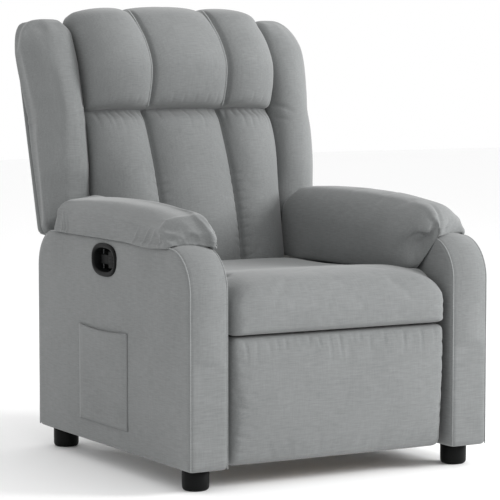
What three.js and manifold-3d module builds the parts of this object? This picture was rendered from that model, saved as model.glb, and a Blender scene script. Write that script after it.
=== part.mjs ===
// Recliner armchair, modelled in millimetres.
// +Z is up, the chair faces -Y, and "right" and "left" are the sitter's: right is -X.
// Pieces are drawn with Y = 0 at the middle of the arms. The whole chair is then moved so
// that the origin is the middle of its box, on the floor.
import * as THREE from 'three';
import { mergeVertices } from 'three/addons/utils/BufferGeometryUtils.js';
import Module from 'manifold-3d';

const wasm = await Module();
wasm.setup();

// Driving dimensions -------------------------------------------------------------------

const gap = 0.3; // between faces that touch
const ovalSteps = 8; // along each quarter or so of an oval's outline
const plate = 4; // thickness of the pressed steel links and side plates
const pinR = 6;
const pinPlay = 0.4;
const smallPinR = 4;

const arm = {
  width: 96,
  inner: 289,
  length: 772,
  bottom: 48,
  top: 525,
  frontR: 95,
  rearR: 90,
  bottomR: 12,
  skin: 14,
  edge: 8,
};
arm.outer = arm.inner + arm.width;
arm.front = -arm.length / 2;
arm.rear = arm.length / 2;

const foot = { r: 30, height: arm.bottom + 2 - gap, studR: 5, studLength: 30, inset: 64, insetRear: 53 };

const pad = {
  overhang: 7, // past the arm's outer face
  innerDrop: 80, // how far the inner side hangs below the arm's top
  innerWidth: 41, // over the seat
  height: 91,
  frontLap: 68, // from the arm's front to the pad's front, on the inner side
  rearGap: 93, // from the arm's rear to the pad's rear
};

const bezel = {
  y: 18,
  z: 475,
  flangeY: 61.5,
  flangeZ: 38,
  cupY: 55,
  cupZ: 32,
  wall: 3,
  depth: 33,
  flange: 3.7,
};
const lever = { pivotY: 50, barFront: -15, barRear: 14, barHalf: 20, neckHalf: 11, thick: 8 };

const pocket = { front: -98, rear: 148, bottom: 99, top: 319, sag: 6, bulge: 7, cloth: 2, seam: 8 };

const lean = THREE.MathUtils.degToRad(16); // of the upright back
const reclinePivot = { y: 280, z: 318 };

const back = {
  halfWidth: arm.inner - 34.5, // of the cushions and the frame between the wings
  rearFace: -88, // distances along the back's own normal, forwards positive
  frameRear: -57,
  frameFront: -33,
  seam: 492, // height of the seam under the head cushion, from the recline pivot
  crest: 766,
  bottom: 100,
};
back.frameTop = back.crest - 66;
const wing = { outer: arm.outer - 8, bottom: 214, top: back.crest - 39, front: 76 };

const seat = {
  halfWidth: arm.inner - 17,
  padClear: 7, // under the arm pads' inner edges
  front: -388,
  rear: 226,
  bottom: 345,
  crest: 457,
};
const frameTop = 337; // upper face of the steel seat frame, under the springs

const footrest = {
  halfWidth: arm.inner - 18,
  bottom: 50,
  top: 329,
  front: -386,
  boardFront: -334,
  board: 12,
};

// The steel mechanism lies in thin layers between the arm and the seat. Each value is the
// distance of a layer's inner face from the chair's middle plane.
const linkGap = 2; // between neighbouring layers
const swingGap = 3.7; // between the base plates and the swing links
const layer = { base: arm.inner - gap - plate };
layer.swing = layer.base - plate - swingGap;
layer.seat = layer.swing - plate - linkGap;
layer.drive = layer.seat - plate - linkGap;
layer.lift = layer.drive - plate - linkGap;
layer.hold = layer.lift - plate - linkGap;
layer.reach = layer.hold - plate - linkGap;

// Pivots of the footrest linkage in the chair's side plane, footrest folded.
const drivePivot = { y: -224.6, z: 275 };
const holdPivot = { y: -262, z: 300 };
const liftEnd = { y: -304, z: 272 };
const reachEnd = { y: -304, z: 192 };
const driveLength = 196.3;
const liftLength = 270;
const holdLength = 254.8;
const reachLength = 267.4;
const crossOnLift = 50; // from the drive knee
const crossOnHold = 191.4; // from the hold pivot
const linkHalf = 12;
const eyeR = 16;
const crossPlay = 7; // of the opened pivots
const reachPlay = 6.2;

// The seat hangs on four equal swing links that lean back when the chair is upright.
const swing = { length: 110, lean: THREE.MathUtils.degToRad(14), z: 110, frontY: -190, rearY: 130 };

const rail = { height: 30, depth: 30, wall: 3, z: 88, frontY: 5, rearY: 245 };
const latch = { y: -60, z: 150, studY: -110, studZ: 215, studR: 5, clear: 2 };

// Materials ----------------------------------------------------------------------------

const fabric = new THREE.MeshStandardMaterial({ color: 0x8f9391, roughness: 0.95 });
const plastic = new THREE.MeshStandardMaterial({ color: 0x1f2020, roughness: 0.5 });
const steel = new THREE.MeshStandardMaterial({ color: 0x2a2b2c, roughness: 0.45, metalness: 0.6 });
const bareSteel = new THREE.MeshStandardMaterial({ color: 0x9a9c9e, roughness: 0.35, metalness: 1 });
const wood = new THREE.MeshStandardMaterial({ color: 0xb9976a, roughness: 0.8 });

// Shape helpers ------------------------------------------------------------------------

// A closed outline through corners [a, b, radius], each corner rounded by its radius.
function outline(corners, holes = []) {
  const shape = new THREE.Shape();
  corners.forEach(([a, b, radius = 0], i) => {
    const corner = new THREE.Vector2(a, b);
    const before = new THREE.Vector2(...corners.at(i - 1));
    const after = new THREE.Vector2(...corners[(i + 1) % corners.length]);
    const toBefore = before.sub(corner);
    const toAfter = after.sub(corner);
    const half = Math.acos(toBefore.dot(toAfter) / (toBefore.length() * toAfter.length())) / 2;
    const room = Math.min(toBefore.length(), toAfter.length()) * 0.49;
    const cut = Math.min(radius / Math.tan(half), room);
    const start = corner.clone().addScaledVector(toBefore.normalize(), cut);
    const end = corner.clone().addScaledVector(toAfter.normalize(), cut);
    if (i === 0) {
      shape.moveTo(start.x, start.y);
    } else {
      shape.lineTo(start.x, start.y);
    }
    if (cut > 0) {
      shape.quadraticCurveTo(corner.x, corner.y, end.x, end.y);
    }
  });
  shape.closePath();
  shape.holes.push(...holes);
  return shape;
}

function oval(a, b, halfA, halfB) {
  const shape = new THREE.Shape();
  shape.absellipse(a, b, halfA, halfB, 0, Math.PI * 2);
  return shape;
}

const axesOf = {
  x: [new THREE.Vector3(0, 1, 0), new THREE.Vector3(0, 0, 1), new THREE.Vector3(1, 0, 0)],
  y: [new THREE.Vector3(-1, 0, 0), new THREE.Vector3(0, 0, 1), new THREE.Vector3(0, 1, 0)],
  z: [new THREE.Vector3(1, 0, 0), new THREE.Vector3(0, 1, 0), new THREE.Vector3(0, 0, 1)],
};

// Pushes an outline from one place to another along an axis. Along x the outline is drawn
// in (y, z), along y in (-x, z), and along z in (x, y).
function push(shape, axis, from, to, edge = 0, steps = 5) {
  const low = Math.min(from, to);
  const geometry = new THREE.ExtrudeGeometry(shape, {
    depth: Math.abs(to - from) - 2 * edge,
    bevelEnabled: edge > 0,
    bevelThickness: edge,
    bevelSize: edge,
    bevelOffset: -edge,
    bevelSegments: 2,
    curveSegments: steps,
  });
  geometry.translate(0, 0, low + edge);
  geometry.applyMatrix4(new THREE.Matrix4().makeBasis(...axesOf[axis]));
  return geometry;
}

function block(x0, x1, y0, y1, z0, z1) {
  const geometry = new THREE.BoxGeometry(Math.abs(x1 - x0), y1 - y0, z1 - z0);
  return geometry.translate((x0 + x1) / 2, (y0 + y1) / 2, (z0 + z1) / 2);
}

// A round bar along X.
function rod(x0, x1, y, z, r, sides = 12) {
  const geometry = new THREE.CylinderGeometry(r, r, Math.abs(x1 - x0), sides);
  return geometry.rotateZ(Math.PI / 2).translate((x0 + x1) / 2, y, z);
}

function solid(geometry) {
  const clean = geometry.clone();
  clean.deleteAttribute('normal');
  clean.deleteAttribute('uv');
  const merged = mergeVertices(clean, 1e-3);
  return new wasm.Manifold(new wasm.Mesh({
    numProp: 3,
    vertProperties: Float32Array.from(merged.attributes.position.array),
    triVerts: Uint32Array.from(merged.index.array),
  }));
}

function geometryOf(body) {
  const mesh = body.getMesh();
  const geometry = new THREE.BufferGeometry();
  geometry.setAttribute('position', new THREE.BufferAttribute(mesh.vertProperties, 3));
  geometry.setIndex(new THREE.BufferAttribute(mesh.triVerts, 1));
  geometry.computeVertexNormals();
  return geometry;
}

// Joins the first list of geometries and cuts the second list out of the result.
function shaped(joined, cut = []) {
  let body = solid(joined[0]);
  for (const piece of joined.slice(1)) {
    body = body.add(solid(piece));
  }
  for (const piece of cut) {
    body = body.subtract(solid(piece));
  }
  return geometryOf(body);
}

// The space that several pushed outlines share: a cushion seen from two or three sides.
function common(geometries) {
  return geometryOf(geometries.map(solid).reduce((a, b) => a.intersect(b)));
}

const chair = new THREE.Group();

function add(name, geometry, material, group = chair) {
  const mesh = new THREE.Mesh(geometry, material);
  mesh.name = name;
  group.add(mesh);
}

const sides = [
  { word: 'right', sign: -1 },
  { word: 'left', sign: 1 },
];

// Arms ---------------------------------------------------------------------------------

// The arm's side outline, drawn a distance inside the cover's outer face.
function armOutline(inset, holes = []) {
  const front = arm.front + inset;
  const rear = arm.rear - inset;
  const bottom = inset > 0 ? arm.bottom + 2 : arm.bottom;
  const top = arm.top - inset;
  return outline([
    [front, bottom, inset > 0 ? 0 : arm.bottomR],
    [rear, bottom, inset > 0 ? 0 : arm.bottomR],
    [rear, top, arm.rearR - inset],
    [front, top, arm.frontR - inset],
  ], holes);
}

const footPlaces = [arm.front + foot.inset, arm.rear - foot.insetRear];
const armMiddle = (arm.inner + arm.outer) / 2;
const cableHole = { y: -60, z: 170, r: 6 };

function armCover(sign) {
  const near = sign * (arm.inner + arm.skin);
  const far = sign * (arm.outer - arm.skin);
  const inside = push(armOutline(arm.skin), 'x', near, far);
  const mouth = block(
    near,
    far,
    arm.front + arm.skin,
    arm.rear - arm.skin,
    arm.bottom - 10,
    arm.bottom + 20,
  );
  const cuts = [inside, mouth];
  if (sign < 0) {
    const hole = oval(bezel.y, bezel.z, bezel.cupY + gap, bezel.cupZ + gap);
    cuts.push(push(hole, 'x', -arm.outer - 5, -arm.outer + arm.skin + 5, 0, ovalSteps));
    cuts.push(rod(-arm.inner + 5, -arm.inner - arm.skin - 5, cableHole.y, cableHole.z, cableHole.r));
  }
  const outer = push(armOutline(0), 'x', sign * arm.inner, sign * arm.outer, arm.edge);
  return shaped([outer], cuts);
}

const frameInset = arm.skin + gap;
const armBoard = 18;
const armRail = { bottomHeight: 42, topHeight: 30, topWidth: 36, post: 40 };

function armFrame(sign) {
  const near = sign * (arm.inner + frameInset);
  const far = sign * (arm.outer - frameInset);
  const front = arm.front + frameInset;
  const rear = arm.rear - frameInset;
  const floor = arm.bottom + 2;
  const postTop = arm.top - arm.frontR - 10;
  const windows = [-1, 1].map((half) => outline([
    [half * 20, floor + 60, 12],
    [half * (arm.rear - 66), floor + 60, 12],
    [half * (arm.rear - 66), arm.top - 60, 12],
    [half * 20, arm.top - 60, 12],
  ]));
  const board = push(armOutline(frameInset, windows), 'x', near, near + sign * armBoard);
  const bottomRail = block(near, far, front, rear, floor, floor + armRail.bottomHeight);
  const topRail = block(
    near,
    near + sign * armRail.topWidth,
    arm.front + arm.frontR,
    arm.rear - arm.rearR,
    arm.top - frameInset - armRail.topHeight,
    arm.top - frameInset,
  );
  const frontPost = block(near, far, front, front + armRail.post, floor, postTop);
  const rearPost = block(near, far, rear - armRail.post, rear, floor, postTop);
  const studHoles = footPlaces.map((y) => {
    const hole = new THREE.CylinderGeometry(foot.studR + gap, foot.studR + gap, 80, 16);
    return hole.rotateX(Math.PI / 2).translate(sign * armMiddle, y, foot.height);
  });
  return shaped([board, bottomRail, topRail, frontPost, rearPost], studHoles);
}

function footGeometry() {
  const topZ = foot.height;
  const profile = [
    [0, 0],
    [foot.r - 5, 0],
    [foot.r - 1.5, 2],
    [foot.r, 8],
    [foot.r, topZ],
    [foot.studR, topZ],
    [foot.studR, topZ + foot.studLength],
    [0, topZ + foot.studLength],
  ];
  const geometry = new THREE.LatheGeometry(profile.map(([r, z]) => new THREE.Vector2(r, z)), 24);
  return geometry.rotateX(Math.PI / 2);
}

// The pad sits on the arm and folds down over its inner side, above the seat's edge.
function armPad(sign) {
  const rear = arm.rear - pad.rearGap;
  const front = arm.front + pad.frontLap;
  const low = arm.top - pad.innerDrop;
  const high = arm.top + pad.height;
  const side = outline([
    [front + 8, low, 22],
    [rear, low, 25],
    [rear, high - 12, 50],
    [rear - 150, high - 2, 120],
    [-60, high, 160],
    [-190, high - 12, 110],
    [-262, high - 52, 50],
    [front, high - 108, 50],
  ]);
  const section = outline([
    [arm.inner - pad.innerWidth, low, 16],
    [arm.inner - gap, low, 16],
    [arm.inner + 6, arm.top - 30, 0],
    [arm.outer + pad.overhang, arm.top - 30, 0],
    [arm.outer + pad.overhang, high, 52],
    [arm.inner - pad.innerWidth, high, 60],
  ].map(([x, z, r]) => [-sign * x, z, r]));
  const rough = common([
    push(side, 'x', sign * (arm.inner - pad.innerWidth), sign * (arm.outer + pad.overhang)),
    push(section, 'y', front - 5, rear + 5),
  ]);
  const armSpace = block(
    sign * (arm.inner - gap),
    sign * (arm.outer + pad.overhang + 10),
    arm.front,
    arm.rear,
    low - 10,
    arm.top + gap,
  );
  return shaped([rough], [armSpace]);
}

function addArms() {
  for (const { word, sign } of sides) {
    add(`arm_frame_${word}`, armFrame(sign), wood);
    add(`arm_cover_${word}`, armCover(sign), fabric);
    add(`arm_pad_${word}`, armPad(sign), fabric);
    footPlaces.forEach((y, i) => {
      const geometry = footGeometry().translate(sign * armMiddle, y, 0);
      add(`foot_${i === 0 ? 'front' : 'rear'}_${word}`, geometry, plastic);
    });
  }
}

// Side pocket, sewn to the right arm and open at the top ----------------------------------

function pocketOutline(inset, raise) {
  const top = pocket.top + raise;
  return outline([
    [pocket.front + inset, pocket.bottom + inset, 4],
    [pocket.rear - inset, pocket.bottom + inset, 4],
    [pocket.rear - inset, top, 0],
    [(pocket.front + pocket.rear) / 2, top - pocket.sag, 60],
    [pocket.front + inset, top, 0],
  ]);
}

function addPocket() {
  const near = -arm.outer - gap;
  const far = -arm.outer - pocket.bulge;
  const pouch = push(pocketOutline(0, 0), 'x', near, far);
  const room = push(pocketOutline(pocket.seam, 20), 'x', near + 2, far + pocket.cloth);
  add('side_pocket', shaped([pouch], [room]), fabric);
}

// Release lever in its cup, with the cable and the latch it works -------------------------

const leverX = -arm.outer + 13;

function addLever() {
  const face = -arm.outer - gap;
  const flangeOval = oval(bezel.y, bezel.z, bezel.flangeY, bezel.flangeZ);
  const cupOval = oval(bezel.y, bezel.z, bezel.cupY, bezel.cupZ);
  const roomOval = oval(bezel.y, bezel.z, bezel.cupY - bezel.wall, bezel.cupZ - bezel.wall);
  const flange = push(flangeOval, 'x', face, face - bezel.flange, 0, ovalSteps);
  const cup = push(cupOval, 'x', face - 1, face + bezel.depth, 0, ovalSteps);
  const room = push(roomOval, 'x', face - 10, face + bezel.depth - bezel.wall, 0, ovalSteps);
  const pinHalf = bezel.cupZ * Math.sqrt(1 - ((lever.pivotY - bezel.y) / bezel.cupY) ** 2);
  const pinAt = (r, half) => new THREE.CylinderGeometry(r, r, 2 * half, 12)
    .rotateX(Math.PI / 2)
    .translate(leverX, lever.pivotY, bezel.z);
  add('lever_bezel', shaped([flange, cup], [room, pinAt(2 + gap, pinHalf + 5)]), plastic);
  add('lever_pivot_pin', pinAt(2, pinHalf - bezel.wall / 2), bareSteel);

  const bar = outline([
    [lever.barFront, bezel.z - lever.barHalf, 7],
    [lever.barRear, bezel.z - lever.barHalf, 5],
    [lever.barRear, bezel.z + lever.barHalf, 5],
    [lever.barFront, bezel.z + lever.barHalf, 7],
  ]);
  const neck = block(
    leverX - lever.thick / 2,
    leverX + lever.thick / 2,
    lever.barRear - 4,
    lever.pivotY,
    bezel.z - lever.neckHalf,
    bezel.z + lever.neckHalf,
  );
  const knuckle = new THREE.CylinderGeometry(5, 5, 2 * lever.neckHalf, 16)
    .rotateX(Math.PI / 2)
    .translate(leverX, lever.pivotY, bezel.z);
  const barSolid = push(bar, 'x', leverX - 6, leverX + 5, 2, 3);
  add('pull_lever', shaped([barSolid, neck, knuckle], [pinAt(2 + gap, 30)]), plastic);

  const cablePath = new THREE.CatmullRomCurve3([
    new THREE.Vector3(face + bezel.depth + 4, 40, bezel.z - 5),
    new THREE.Vector3(-arm.outer + 42, 30, bezel.z - 60),
    new THREE.Vector3(-arm.outer + 44, 0, bezel.z - 160),
    new THREE.Vector3(-arm.outer + 50, cableHole.y, cableHole.z + 60),
    new THREE.Vector3(-arm.inner - 26, cableHole.y, cableHole.z + 8),
    new THREE.Vector3(-arm.inner - 7, cableHole.y, cableHole.z),
    new THREE.Vector3(-layer.swing - plate - 1, cableHole.y, cableHole.z),
  ]);
  const section = new THREE.Shape();
  section.absarc(0, 0, 2.5, 0, Math.PI * 2);
  const cable = new THREE.ExtrudeGeometry(section, { extrudePath: cablePath, steps: 30, curveSegments: 4 });
  add('release_cable', cable, plastic);
}

function addLatch() {
  const x0 = -layer.swing;
  const x1 = -layer.swing - plate;
  const tipZ = latch.studZ - latch.studR - latch.clear;
  const hook = outline([
    [latch.y - 12, latch.z - 10, 8],
    [latch.y + 12, latch.z - 10, 8],
    [latch.y + 12, latch.z + 8, 8],
    [latch.studY + 10, tipZ - 14, 4],
    [latch.studY - 6, tipZ, 2],
    [latch.studY - 16, tipZ, 2],
    [latch.studY - 14, tipZ - 26, 6],
  ]);
  const pinHole = rod(x0 + 5, x1 - 5, latch.y, latch.z, smallPinR + pinPlay);
  add('latch_hook', shaped([push(hook, 'x', x0, x1, 0, 3)], [pinHole]), steel);
}

// Fixed base: a side plate bolted to each arm, and two cross rails -------------------------

function addBase() {
  for (const { word, sign } of sides) {
    const x = sign * layer.base;
    const low = rail.z - 4;
    const high = swing.z + 32;
    const ear = [
      [latch.y + 22, high, 6],
      [latch.y + 14, latch.z + 13, 12],
      [latch.y - 14, latch.z + 13, 12],
      [latch.y - 22, high, 6],
    ];
    const shape = outline([
      [swing.frontY - 40, low, 10],
      [rail.rearY + rail.depth + 15, low, 10],
      [rail.rearY + rail.depth + 15, high, 10],
      ...(sign < 0 ? ear : []),
      [swing.frontY - 40, high, 10],
    ]);
    const pins = [swing.frontY, swing.rearY].map((y) => (
      rod(x + sign, sign * (layer.swing - 1), y, swing.z, pinR)
    ));
    if (sign < 0) {
      pins.push(rod(x + sign, sign * (layer.swing - 1), latch.y, latch.z, smallPinR));
    }
    add(`base_plate_${word}`, shaped([push(shape, 'x', x, x + sign * plate, 0, 3), ...pins]), steel);
  }
  for (const [word, y] of [['front', rail.frontY], ['rear', rail.rearY]]) {
    const half = layer.base - gap;
    const tube = block(-half, half, y, y + rail.depth, rail.z, rail.z + rail.height);
    const bore = block(
      -half - 5,
      half + 5,
      y + rail.wall,
      y + rail.depth - rail.wall,
      rail.z + rail.wall,
      rail.z + rail.height - rail.wall,
    );
    add(`base_rail_${word}`, shaped([tube], [bore]), steel);
  }
}

// Swing links that carry the seat ----------------------------------------------------------

function bar(x, sign, from, to, { fromHole, toHole, fromEye = linkHalf, toEye = linkHalf }) {
  const axis = new THREE.Vector2(to.y - from.y, to.z - from.z);
  const along = axis.angle();
  const body = new THREE.Shape();
  const waist = 0.7 * linkHalf;
  const turn = (p, r, angle) => [p.y + r * Math.cos(angle), p.z + r * Math.sin(angle)];
  const quarter = Math.PI / 2;
  body.moveTo(...turn(from, waist, along + quarter));
  body.lineTo(...turn(from, waist, along - quarter));
  body.lineTo(...turn(to, waist, along - quarter));
  body.lineTo(...turn(to, waist, along + quarter));
  body.closePath();
  const end = (p, r) => rod(x, x + sign * plate, p.y, p.z, r);
  const hole = (p, r) => rod(x - sign * 5, x + sign * (plate + 5), p.y, p.z, r);
  const cuts = [];
  if (fromHole) {
    cuts.push(hole(from, fromHole));
  }
  if (toHole) {
    cuts.push(hole(to, toHole));
  }
  return { joined: [push(body, 'x', x, x + sign * plate), end(from, fromEye), end(to, toEye)], cuts };
}

function swingTop(y) {
  return { y: y + swing.length * Math.sin(swing.lean), z: swing.z + swing.length * Math.cos(swing.lean) };
}

function addSwings() {
  for (const { word, sign } of sides) {
    for (const [place, y] of [['front', swing.frontY], ['rear', swing.rearY]]) {
      const top = swingTop(y);
      const hole = pinR + pinPlay;
      const link = bar(sign * layer.swing, sign, { y, z: swing.z }, top, { fromHole: hole, toHole: hole });
      add(`swing_link_${place}_${word}`, shaped(link.joined, link.cuts), steel);
    }
  }
}

// Seat frame -------------------------------------------------------------------------------

const seatPlateLow = 200;
const seatPlateHigh = 262;

function addSeatFrame() {
  for (const { word, sign } of sides) {
    const x = sign * layer.seat;
    const outer = x + sign * plate;
    const shape = outline([
      [holdPivot.y - 22, seatPlateHigh, 8],
      [-205, seatPlateHigh, 10],
      [-190, seatPlateLow, 10],
      [185, seatPlateLow, 10],
      [205, seatPlateHigh, 10],
      [reclinePivot.y + 18, reclinePivot.z - 40, 12],
      [reclinePivot.y + 18, frameTop, 12],
      [holdPivot.y - 22, frameTop, 8],
    ]);
    const pieces = [push(shape, 'x', x, outer, 0, 3)];
    pieces.push(rod(x + sign, sign * (layer.drive - 1), drivePivot.y, drivePivot.z, pinR));
    pieces.push(rod(x + sign, sign * (layer.hold + 0.5), holdPivot.y, holdPivot.z, pinR));
    for (const y of [swing.frontY, swing.rearY]) {
      const top = swingTop(y);
      pieces.push(rod(outer - sign, sign * (layer.swing + plate + 1), top.y, top.z, pinR));
    }
    if (sign < 0) {
      pieces.push(rod(outer - sign, sign * (layer.swing + plate), latch.studY, latch.studZ, latch.studR));
    }
    const pivotHole = rod(x - sign * 5, outer + sign * 5, reclinePivot.y, reclinePivot.z, pinR + pinPlay);
    add(`seat_side_plate_${word}`, shaped(pieces, [pivotHole]), steel);
    const pin = rod(sign * (layer.drive - 2), outer + sign * 1.5, reclinePivot.y, reclinePivot.z, pinR);
    add(`recline_pivot_pin_${word}`, pin, bareSteel);
  }
  const half = layer.seat - gap;
  const rails = [
    ['seat_rail_front', -256, -216, 20],
    ['seat_rail_rear', 190, 230, 24],
  ];
  for (const [name, y0, y1, height] of rails) {
    const tube = block(-half, half, y0, y1, frameTop - height, frameTop);
    const bore = block(-half - 5, half + 5, y0 + 3, y1 - 3, frameTop - height + 3, frameTop - 3);
    add(name, shaped([tube], [bore]), steel);
  }
  addSprings(-236, 210);
}

// Zigzag seat springs, held by a clip strip on each rail.
function addSprings(frontY, rearY) {
  const z = frameTop + gap + 2;
  const count = 5;
  const turns = 7;
  const stripHalf = seat.halfWidth - 37;
  const spread = stripHalf - 35; // from the middle to the outermost spring
  const pieces = [frontY, rearY].map((y) => block(-stripHalf, stripHalf, y - 8, y + 8, z - 2, z + 2));
  for (let i = 0; i < count; i += 1) {
    const x = -spread + ((2 * spread) / (count - 1)) * i;
    const path = new THREE.CurvePath();
    let last = new THREE.Vector3(x, frontY, z);
    for (let k = 1; k <= turns * 2; k += 1) {
      const side = k === turns * 2 ? 0 : 20 * (k % 2 === 0 ? 1 : -1);
      const next = new THREE.Vector3(x + side, frontY + ((rearY - frontY) / (turns * 2)) * k, z);
      path.add(new THREE.LineCurve3(last, next));
      last = next;
    }
    const wire = new THREE.Shape();
    wire.absarc(0, 0, 1.8, 0, Math.PI * 2);
    pieces.push(new THREE.ExtrudeGeometry(wire, { extrudePath: path, steps: turns * 2, curveSegments: 2 }));
  }
  add('seat_springs', shaped(pieces), bareSteel);
}

function addSeatCushion() {
  const under = arm.top - pad.innerDrop - seat.padClear;
  const shelf = arm.inner - pad.innerWidth - 3;
  const lip = footrest.top + 6;
  const side = outline([
    [seat.front + 10, lip, 10],
    [-320, lip, 8],
    [-296, seat.bottom, 8],
    [seat.rear, seat.bottom, 10],
    [seat.rear, seat.crest - 8, 25],
    [-255, seat.crest, 60],
    [-340, seat.crest - 28, 50],
    [seat.front, seat.crest - 66, 30],
    [seat.front, lip + 16, 12],
  ]);
  const section = outline([
    [-seat.halfWidth, lip - 5, 0],
    [seat.halfWidth, lip - 5, 0],
    [seat.halfWidth, under, 14],
    [shelf, under, 6],
    [shelf - 22, seat.crest - 8, 20],
    [0, seat.crest + 1, 100],
    [-shelf + 22, seat.crest - 8, 20],
    [-shelf, under, 6],
    [-seat.halfWidth, under, 14],
  ]);
  add('seat_cushion', common([
    push(side, 'x', -seat.halfWidth, seat.halfWidth),
    push(section, 'y', seat.front - 5, seat.rear + 5),
  ]), fabric);
}

// Footrest ---------------------------------------------------------------------------------

const boardRear = footrest.boardFront + footrest.board;

function addFootrest() {
  const padSide = outline([
    [footrest.boardFront - gap, footrest.bottom, 12],
    [footrest.boardFront - gap, footrest.top, 12],
    [footrest.front + 8, footrest.top, 16],
    [footrest.front, footrest.top - 80, 90],
    [footrest.front + 6, footrest.bottom + 90, 90],
    [footrest.front + 22, footrest.bottom, 16],
  ]);
  const padGeometry = push(padSide, 'x', -footrest.halfWidth, footrest.halfWidth, 6, 4);
  const boardHalf = footrest.halfWidth - 9;
  const boardLow = footrest.bottom + 12;
  const boardHigh = footrest.top - 17;
  add('footrest_pad', padGeometry, fabric);
  const board = block(-boardHalf, boardHalf, footrest.boardFront, boardRear, boardLow, boardHigh);
  add('footrest_board', board, wood);
  for (const { word, sign } of sides) {
    const x = sign * layer.hold;
    const cheek = outline([
      [boardRear + gap, reachEnd.z - 14, 4],
      [reachEnd.y + 13, reachEnd.z - 14, 12],
      [liftEnd.y + 13, liftEnd.z + 14, 12],
      [boardRear + gap, liftEnd.z + 14, 4],
    ]);
    const flange = block(
      x + sign * plate,
      x - sign * 26,
      boardRear + gap,
      boardRear + gap + 3,
      reachEnd.z + eyeR + 4,
      liftEnd.z + 10,
    );
    const liftPin = rod(x + sign, sign * (layer.lift + plate + 0.7), liftEnd.y, liftEnd.z, pinR);
    const reachPin = rod(x + sign, sign * (layer.reach - 1), reachEnd.y, reachEnd.z, smallPinR);
    const pieces = [push(cheek, 'x', x, x + sign * plate, 0, 3), flange, liftPin, reachPin];
    add(`footrest_bracket_${word}`, shaped(pieces), steel);
  }
}

// Where two bars of given lengths meet, behind and below both of their far ends.
function knee(from, to, fromLength, toLength) {
  const dy = to.y - from.y;
  const dz = to.z - from.z;
  const distance = Math.hypot(dy, dz);
  const along = (fromLength ** 2 - toLength ** 2 + distance ** 2) / (2 * distance);
  const off = Math.sqrt(fromLength ** 2 - along ** 2);
  return {
    y: from.y + (dy * along - dz * off) / distance,
    z: from.z + (dz * along + dy * off) / distance,
  };
}

function between(from, to, distance) {
  const share = distance / Math.hypot(to.y - from.y, to.z - from.z);
  return { y: from.y + (to.y - from.y) * share, z: from.z + (to.z - from.z) * share };
}

const driveKnee = knee(drivePivot, liftEnd, driveLength, liftLength);
const holdKnee = knee(holdPivot, reachEnd, holdLength, reachLength);

function addLinks() {
  const hole = pinR + pinPlay;
  for (const { word, sign } of sides) {
    const at = (name) => sign * layer[name];
    const drive = bar(at('drive'), sign, drivePivot, driveKnee, { fromHole: hole });
    drive.joined.push(rod(at('drive') + sign, sign * (layer.lift - 0.7), driveKnee.y, driveKnee.z, pinR));
    add(`drive_link_${word}`, shaped(drive.joined, drive.cuts), steel);

    const lift = bar(at('lift'), sign, driveKnee, liftEnd, { fromHole: hole, toHole: hole });
    const liftCross = between(driveKnee, liftEnd, crossOnLift);
    const crossPinEnd = sign * (layer.hold - 0.7);
    lift.joined.push(rod(at('lift') + sign, crossPinEnd, liftCross.y, liftCross.z, smallPinR));
    add(`lift_link_${word}`, shaped(lift.joined, lift.cuts), steel);

    const hold = bar(at('hold'), sign, holdPivot, holdKnee, { fromHole: hole });
    const holdCross = between(holdPivot, holdKnee, crossOnHold);
    hold.joined.push(rod(at('hold'), at('hold') + sign * plate, holdCross.y, holdCross.z, eyeR));
    hold.joined.push(rod(at('hold') + sign, sign * (layer.reach - 0.7), holdKnee.y, holdKnee.z, pinR));
    hold.cuts.push(rod(at('hold') - 5, at('hold') + 9, holdCross.y, holdCross.z, smallPinR + crossPlay));
    add(`hold_link_${word}`, shaped(hold.joined, hold.cuts), steel);

    const reach = bar(at('reach'), sign, holdKnee, reachEnd, {
      fromHole: hole,
      toHole: smallPinR + reachPlay,
      toEye: eyeR,
    });
    add(`reach_link_${word}`, shaped(reach.joined, reach.cuts), steel);
  }
  const tubeHalf = layer.hold - gap;
  add('torque_tube', rod(-tubeHalf, tubeHalf, holdPivot.y, holdPivot.z, 11, 16), steel);
}

// Back -------------------------------------------------------------------------------------

// The back is drawn upright about its pivot and then leaned. In its own group, -Y is the way
// the back faces, so a distance n along its normal is y = -n.
function addBack() {
  const group = new THREE.Group();
  group.position.set(0, reclinePivot.y, reclinePivot.z);
  group.rotation.x = -lean;
  chair.add(group);

  const w = back.halfWidth;
  const postIn = w - 54.5;
  const frameLow = -16;
  const frameHigh = back.frameTop;
  const windows = [[120, 300], [345, 470], [520, frameHigh - 40]].map(([low, high]) => outline([
    [-postIn, low, 15],
    [postIn, low, 15],
    [postIn, high, 15],
    [-postIn, high, 15],
  ]));
  const frameShape = outline([
    [-w + 5, frameLow, 6],
    [-postIn, frameLow, 6],
    [-postIn, 70, 6],
    [postIn, 70, 6],
    [postIn, frameLow, 6],
    [w - 5, frameLow, 6],
    [w - 5, frameHigh, 30],
    [-w + 5, frameHigh, 30],
  ], windows);
  add('back_frame', push(frameShape, 'y', -back.frameFront, -back.frameRear, 0, 3), wood, group);

  const coverShape = outline([
    [-w, 24, 20],
    [w, 24, 20],
    [w, wing.bottom - 6, 8],
    [wing.outer - 6, wing.bottom - 6, 18],
    [wing.outer, 450, 200],
    [wing.outer - 6, wing.top - 6, 105],
    [0, wing.top + 8, 300],
    [-wing.outer + 6, wing.top - 6, 105],
    [-wing.outer, 450, 200],
    [-wing.outer + 6, wing.bottom - 6, 18],
    [-w, wing.bottom - 6, 8],
  ]);
  const coverGeometry = push(coverShape, 'y', -back.frameRear + gap, -back.rearFace, 10, 5);
  add('back_cover', coverGeometry, fabric, group);

  addBackCushions(group);

  for (const { word, sign } of sides) {
    add(`wing_${word}`, wingGeometry(sign), fabric, group);
    add(`back_bracket_${word}`, backBracket(sign), steel, group);
  }
}

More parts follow.
